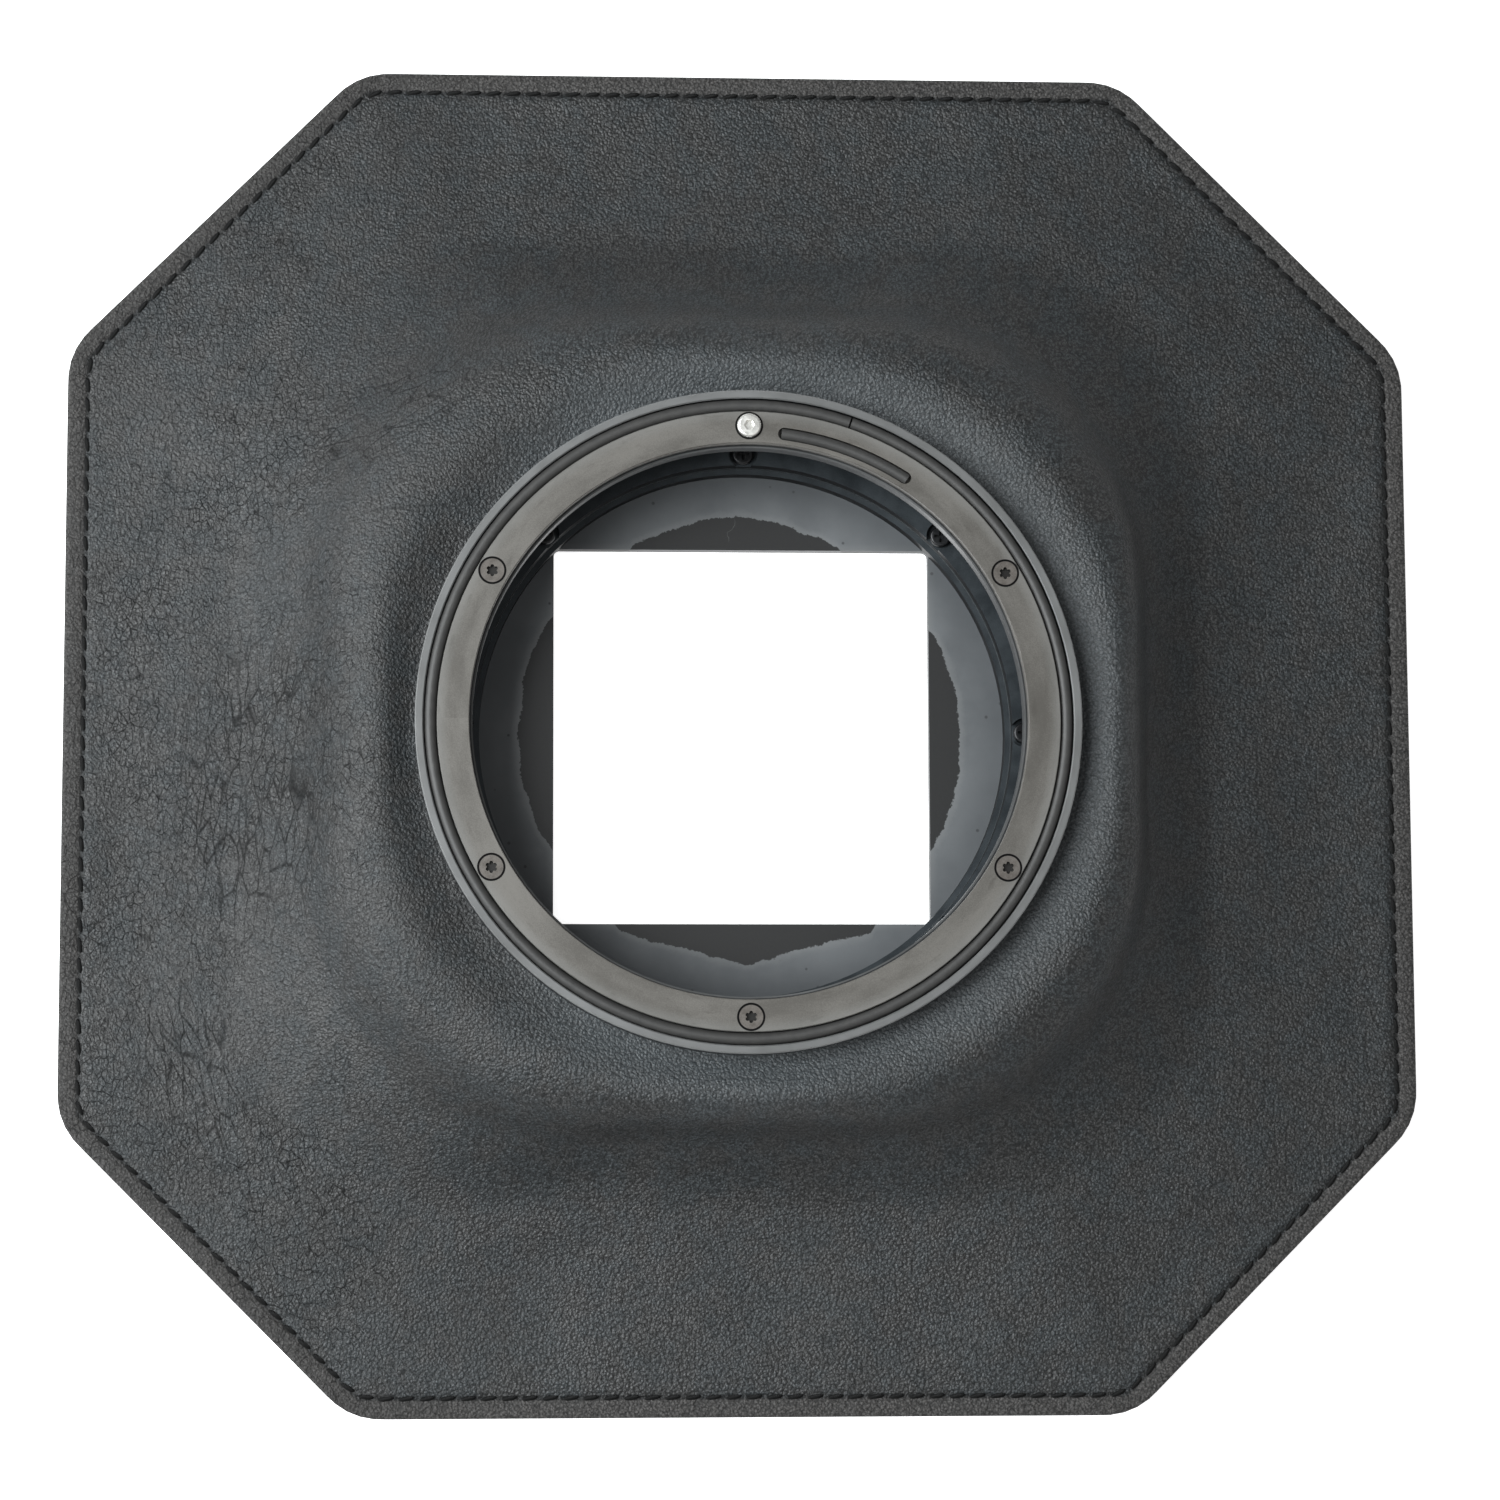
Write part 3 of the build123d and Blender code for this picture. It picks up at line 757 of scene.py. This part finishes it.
# %% One stitch
def one_stitch(length, width, height):
    """A fat loop along X, pinched at both ends, about the origin."""
    bpy.ops.object.select_all(action="DESELECT")
    bpy.ops.mesh.primitive_uv_sphere_add(segments=8, ring_count=6, radius=0.5)
    stitch = bpy.context.object
    bpy.ops.object.mode_set(mode="EDIT")
    bpy.ops.mesh.select_all(action="SELECT")
    bpy.ops.transform.rotate(value=pi / 2, orient_axis="Y", center_override=(0, 0, 0))
    bpy.ops.transform.resize(value=(length * MM, width * MM, height * MM),
                             center_override=(0, 0, 0))
    bpy.ops.object.mode_set(mode="OBJECT")
    bpy.ops.object.shade_smooth()
    return stitch


pattern = one_stitch(length=2.7, width=0.95, height=0.7)
print("one stitch has", len(pattern.data.polygons), "faces")


# %% Sewing round the edge
STITCH_SLANT = radians(10)
STITCH_SINK = 0.12      # how deep each stitch is drawn into the hide


def sew(name, pattern, height, slant, sink):
    """Copies the stitch to every place round the seam and joins the copies."""
    middle, normals, _ = octagon_path(STITCH_INSET, (np.arange(STITCHES) + 0.5) / STITCHES)
    base = np.array([v.co for v in pattern.data.vertices])
    faces = [tuple(f.vertices) for f in pattern.data.polygons]
    points, polygons = [], []
    for (x, y), (nx, ny) in zip(middle, normals):
        turn = atan2(nx, -ny) + slant
        turned = base @ np.array([[cos(turn), sin(turn), 0], [-sin(turn), cos(turn), 0], [0, 0, 1]])
        polygons += [tuple(i + len(points) for i in f) for f in faces]
        points += (turned + np.array([x, y, height + sink]) * MM).tolist()
    mesh = bpy.data.meshes.new(name)
    mesh.from_pydata(points, [], polygons)
    mesh.polygons.foreach_set("use_smooth", [True] * len(polygons))
    obj = bpy.data.objects.new(name, mesh)
    bpy.context.scene.collection.objects.link(obj)
    dress(obj, thread)
    return obj


for panel, slant, sink in (("front", STITCH_SLANT, -STITCH_SINK),
                           ("rear", -STITCH_SLANT, STITCH_SINK)):
    node = f"{panel}_thread"
    height = low(node) if panel == "front" else high(node)
    seam = sew(f"{panel}_stitches", pattern, height, slant, sink)
    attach(seam, "bag_edge")
    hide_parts(node)
    print(seam.name, "has", STITCHES, "stitches and", len(seam.data.polygons), "faces")
bpy.data.objects.remove(pattern)

# %% [markdown]
# ## Metal and rubber
# The metal pieces keep their modelled shape. The face ring is steel with a warm dark finish,
# the flange behind it is black except for its bare rim, and the screws match what they hold,
# but for one bright screw at the top. Each metal is two colours mixed by a cloudy noise, with a
# little roughness to match, because one flat colour looks like plastic. On the ring the clouds
# are drawn out round the axis, as turning leaves them.


# %% Metal finish
def metal(name, dark, light, roughness, cloud_scale, metallic=0.35, mottle=0.5, turned=False):
    f = Finish(name, light, roughness, metallic=metallic)
    place = turned_place(f) if turned else f.mm
    cloud = f.noise(cloud_scale, 4, 0.6, place)
    brushed = f.noise(6.0, 3, 0.6)
    share = f.math("ADD", f.math("MULTIPLY", cloud, mottle), f.math("MULTIPLY", brushed, 1 - mottle))
    f.colour = f.mix(f.between(share, 0.35, 0.65), dark, light)
    f.set("Base Color", f.colour)
    f.set("Roughness", f.between(cloud, 0.3, 0.7, roughness - 0.05, roughness + 0.08))
    f.set("Normal", f.bump(brushed, 0.006))
    return f


def turned_place(f):
    """Radius, way round and height, so that a pattern is drawn out round the axis."""
    angle = f.math("ARCTAN2", f.y, f.x)
    node = f.add("ShaderNodeCombineXYZ")
    for value, socket in zip((f.radius(), f.math("MULTIPLY", angle, 14.0), f.z), node.inputs):
        f.put(value, socket)
    return node.outputs[0]


silver = metal("bright_nickel", (0.76, 0.75, 0.71), (0.88, 0.87, 0.83), 0.30, 0.6, metallic=0.85)
black_steel = metal("black_screw_steel", (0.004, 0.004, 0.005), (0.010, 0.011, 0.012), 0.38, 0.8)
print("made", silver.material.name, "and", black_steel.material.name)

# %% Face ring and its screws
SCREW_CIRCLE = 48.95        # radius of the circle that the screws stand on
JOINT_DIRT_AND_SHADE_OUTER = 2.30           # how far out from a screw's middle the dirt and painted shadow in its joint reach


def screw_distance(f):
    """Distance from the nearest of the six screws of the face, in millimetres."""
    angle = f.math("ARCTAN2", f.x, f.y)
    nearest = f.math("MULTIPLY", f.math("ROUND", f.math("DIVIDE", angle, pi / 3)), pi / 3)
    off = f.math("SUBTRACT", angle, nearest)
    r = f.radius()
    along = f.math("SUBTRACT", f.math("MULTIPLY", r, f.math("COSINE", off)), SCREW_CIRCLE)
    across = f.math("MULTIPLY", r, f.math("SINE", off))
    return f.math("SQRT", f.math("ADD", f.math("MULTIPLY", along, along),
                                 f.math("MULTIPLY", across, across)))


def outline_screws(f, inner, outer):
    """Dirt and shadow in the joint round each screw head."""
    d = screw_distance(f)
    line = f.math("MULTIPLY", f.between(d, inner - 0.06, inner + 0.02),
                  f.between(d, outer + 0.06, outer - 0.02))
    f.colour = f.mix(line, f.colour, (0.008, 0.008, 0.008))
    f.set("Base Color", f.colour)
    f.set("Specular IOR Level", f.blend_number(line, 0.5, 0.0))


face_metal = metal("warm_blackened_steel", (0.080, 0.075, 0.067), (0.130, 0.123, 0.112), 0.42,
                   0.16, turned=True, mottle=0.6)
worn = face_metal.between(face_metal.radius(), 49.2, 51.4)
streak = face_metal.noise(0.9, 3, 0.6, turned_place(face_metal))
face_metal.colour = face_metal.mix(face_metal.math("MULTIPLY", worn, 0.5), face_metal.colour,
                                   (0.165, 0.165, 0.158))
face_metal.colour = face_metal.mix(face_metal.between(streak, 0.55, 0.75, 0.0, 0.35),
                                   face_metal.colour, (0.055, 0.050, 0.043))
outline_screws(face_metal, 2.02, JOINT_DIRT_AND_SHADE_OUTER)
screw_metal = metal("warm_screw_steel", (0.075, 0.066, 0.058), (0.115, 0.104, 0.094), 0.42, 0.9)
outline_screws(screw_metal, 1.98, JOINT_DIRT_AND_SHADE_OUTER)
# Below the face, from 0.12 mm down, the screws are painted darker, near black from 0.5 mm down:
# painted shade in their sockets.
deep = screw_metal.between(screw_metal.z, FACE_Z - 0.12, FACE_Z - 0.5)
screw_metal.set("Base Color", screw_metal.mix(deep, screw_metal.colour, (0.012, 0.011, 0.010)))
print("made", face_metal.material.name, "and", screw_metal.material.name)

# %% Black metal, rubber and tape
black_metal = metal("satin_black_anodised", (0.013, 0.017, 0.020), (0.025, 0.032, 0.037), 0.42, 0.2)
# Faces of the black metal that do not face up, such as the bore walls, are painted near black with
# less shine: painted shade.
painted_wall_shade = (0.003, 0.003, 0.0035)
on_top = black_metal.between(black_metal.facing_up(), 0.3, 0.8)
black_metal.set("Base Color", black_metal.mix(on_top, painted_wall_shade, black_metal.colour))
black_metal.set("Specular IOR Level", black_metal.between(on_top, 0.0, 1.0, 0.15, 0.5))
rubber = Finish("black_rubber_cord", (0.028, 0.028, 0.028), 0.5, specular=0.4)
rubber.set("Normal", rubber.bump(rubber.noise(3.0, 4, 0.6), 0.03))
rubber.set("Base Color", rubber.mix(rubber.noise(0.6, 3), (0.022, 0.022, 0.022),
                                    (0.045, 0.044, 0.042)))
tape = Finish("woven_stay_tape", (0.015, 0.015, 0.015), 0.9)
tape.set("Normal", tape.bump(tape.noise(3, 2), 0.05))
tape.set("Base Color", tape.mix(tape.noise(1.2, 3), (0.010, 0.010, 0.010), (0.022, 0.022, 0.021)))
print("made", black_metal.material.name + ",", rubber.material.name, "and", tape.material.name)


# %% Flange with a bare rim
def make_flange_finish():
    """Black, but bare metal on the thin rim, and a painted highlight, half bare grey, on the lip
    inside the face ring.
    """
    f = metal("black_flange_bare_rim", (0.010, 0.011, 0.012), (0.020, 0.022, 0.024), 0.42, 0.3)
    cloud = f.noise(0.22, 4, 0.6, turned_place(f))
    bare = f.mix(f.between(cloud, 0.3, 0.7), (0.105, 0.107, 0.106), (0.145, 0.148, 0.148))
    on_rim = f.between(f.z, FACE_Z - 0.38, FACE_Z - 0.33)
    # The upward faces of the lip inside the face ring's bore are painted half bare grey: a painted
    # highlight along its edge.
    lip_highlight = f.math("MULTIPLY", f.between(f.radius(), FACE_BORE - 0.2, FACE_BORE - 0.3),
                    f.between(f.facing_up(), 0.3, 0.8))
    share = f.math("MAXIMUM", on_rim, f.math("MULTIPLY", lip_highlight, 0.55))
    f.set("Base Color", f.mix(share, f.colour, bare))
    return f


flange_finish = make_flange_finish()
print("made", flange_finish.material.name)

# %% [markdown]
# ## The window plate
# The plate is anodised grey, with a paler haze. Along each side of the window a darker, rag-edged
# scallop cuts into the haze, and there are a few specks and a hair scratch. The marks could be
# painted on as a picture. Here they are worked out from the distance to the window's side, so they
# stay sharp however close the camera comes.


# %% Scallops round the window
WINDOW_HALF = 32.0
SCALLOPS = (  # side (its axis and sign), middle, half width, height, shoulder, roundness
    ("y", 1, -1.0, 17.8, 6.1, 0.10, 1.6),
    ("y", -1, 0.5, 21.8, 7.1, 0.18, 0.95),
    ("x", 1, -0.6, 18.8, 5.1, 0.06, 2.4),
    ("x", -1, 0.4, 20.0, 5.8, 0.04, 2.6),
)


def scallops(f):
    """The share of dark scallop at each place, and of the paler rim along its edge."""
    teeth = f.between(f.noise(1.9, 3, 0.7), 0.3, 0.7, -0.5, 0.5, soft=False)
    uneven = f.between(f.noise(0.24, 2, 0.5), 0.3, 0.7, -0.8, 0.8, soft=False)
    rag = f.math("ADD", teeth, uneven)
    dark_share, rim_share = 0.0, 0.0
    for axis, sign, middle, half_width, height, shoulder, roundness in SCALLOPS:
        along, across = (f.y, f.x) if axis == "y" else (f.x, f.y)
        t = f.math("ABSOLUTE", f.math("DIVIDE", f.math("SUBTRACT", across, middle), half_width))
        arch = f.math("SUBTRACT", 1.0, f.math("POWER", t, roundness))
        tall = f.math("MULTIPLY_ADD", arch, height * (1 - shoulder), height * shoulder)
        tall = f.math("MULTIPLY", f.math("ADD", tall, f.math("MULTIPLY", rag, 0.45)),
                      f.between(t, 1.03, 0.97))
        depth = f.math("SUBTRACT", f.math("MULTIPLY", along, sign), WINDOW_HALF)
        over = f.math("SUBTRACT", tall, depth)
        on_side = f.between(depth, -0.5, -0.4)
        dark_share = f.math("MAXIMUM", dark_share,
                            f.math("MULTIPLY", on_side, f.between(over, 0.0, 0.14)))
        rim_share = f.math("MAXIMUM", rim_share,
                           f.math("MULTIPLY", on_side, f.between(over, -1.5, 0.0)))
    return dark_share, rim_share


print("the window has", len(SCALLOPS), "scallops")


# %% Plate finish
def plate_haze(f, rim_share):
    """Hazed grey, darker in the ring's shade, with grit and a few dark specks."""
    haze = f.mix(f.between(f.noise(0.07, 4, 0.6), 0.3, 0.7), (0.080, 0.086, 0.091),
                 (0.115, 0.122, 0.128))
    haze = f.mix(f.math("MULTIPLY", rim_share, 0.35), haze, (0.17, 0.175, 0.175))
    shade = f.math("MULTIPLY", f.between(f.radius(), 36, 45), 0.6)
    haze = f.mix(shade, haze, (0.046, 0.051, 0.056))
    grit = f.between(f.noise(2.4, 4, 0.8), 0.60, 0.72, 0.0, 0.35)
    haze = f.mix(grit, haze, (0.055, 0.058, 0.060))
    speck = f.between(f.cells(0.30), 0.11, 0.06)
    return f.mix(f.math("MULTIPLY", speck, 0.75), haze, (0.022, 0.022, 0.024))


def hair_scratch(f):
    """A short slanting scratch above the window."""
    wander = f.math("ADD", f.x, f.math("MULTIPLY", f.noise(0.5, 2), 4.0))
    line = f.math("ABSOLUTE", f.math("SUBTRACT", wander, f.math("MULTIPLY_ADD", f.y, 0.35, -12.0)))
    return f.math("MULTIPLY", f.between(line, 0.10, 0.02),
                  f.between(f.math("ABSOLUTE", f.math("SUBTRACT", f.y, 35.4)), 2.2, 1.4))


def plate_back(f):
    """Black, rubbed paler in patches. The plate's edges have it too."""
    rubbed = f.math("MULTIPLY", f.between(f.noise(0.06, 5, 0.65), 0.38, 0.64),
                    f.between(f.noise(1.6, 3, 0.6), 0.2, 0.7, 0.5, 1.0))
    return f.mix(rubbed, (0.020, 0.021, 0.023), (0.050, 0.051, 0.053))


def make_plate_finish():
    f = Finish("hazed_grey_plate", (0.11, 0.115, 0.12), 0.5, metallic=0.2)
    dark_share, rim_share = scallops(f)
    dark = f.mix(f.noise(2.0, 3), (0.009, 0.0092, 0.0095), (0.014, 0.0143, 0.0146))
    front = f.mix(dark_share, plate_haze(f, rim_share), dark)
    front = f.mix(f.math("MULTIPLY", hair_scratch(f), 0.5), front, (0.14, 0.14, 0.14))
    up = f.between(f.facing_up(), 0.3, 0.8)
    f.set("Base Color", f.mix(up, plate_back(f), front))
    f.set("Roughness", f.blend_number(dark_share, 0.55, 0.45))
    f.set("Normal", f.bump(f.noise(5.0, 3, 0.6), 0.01))
    return f


plate_finish = make_plate_finish()
print("made", plate_finish.material.name)

# %% [markdown]
# ## Dressing the pieces and the table
# Every modelled piece that still shows gets its finish by name. The table is plain white, with
# a little glow of its own, so that it stays white right up to the edge of the view. A brighter
# lamp would whiten it too, but it would also wash out the leather.

# %% Dressing the metal and rubber pieces
FINISHES = {
    "mounting_plate": plate_finish, "rear_frame": black_metal, "frame_screws": black_steel,
    "rear_clamp_ring": black_metal, "rear_clamp_screws": black_steel, "stay_tape": tape,
    "front_clamp_ring": black_metal, "front_flange": flange_finish, "face_ring": face_metal,
    "ring_screws": screw_metal, "index_screw": silver, "seal_cord": rubber, "slot_cord": rubber,
}
for name, finish in FINISHES.items():
    dress(nodes[name], finish)
print("dressed", len(FINISHES), "pieces")

# %% White table
white = Finish("white_table", (0.93, 0.93, 0.93), 0.9, specular=0.1)
white.set("Base Color", white.mix(white.noise(0.01, 2), (0.92, 0.92, 0.92), (0.94, 0.94, 0.94)))
white.set("Emission Color", (1.0, 1.0, 1.0, 1.0))
white.set("Emission Strength", 0.8)
dress(floor, white)
print("table is white")
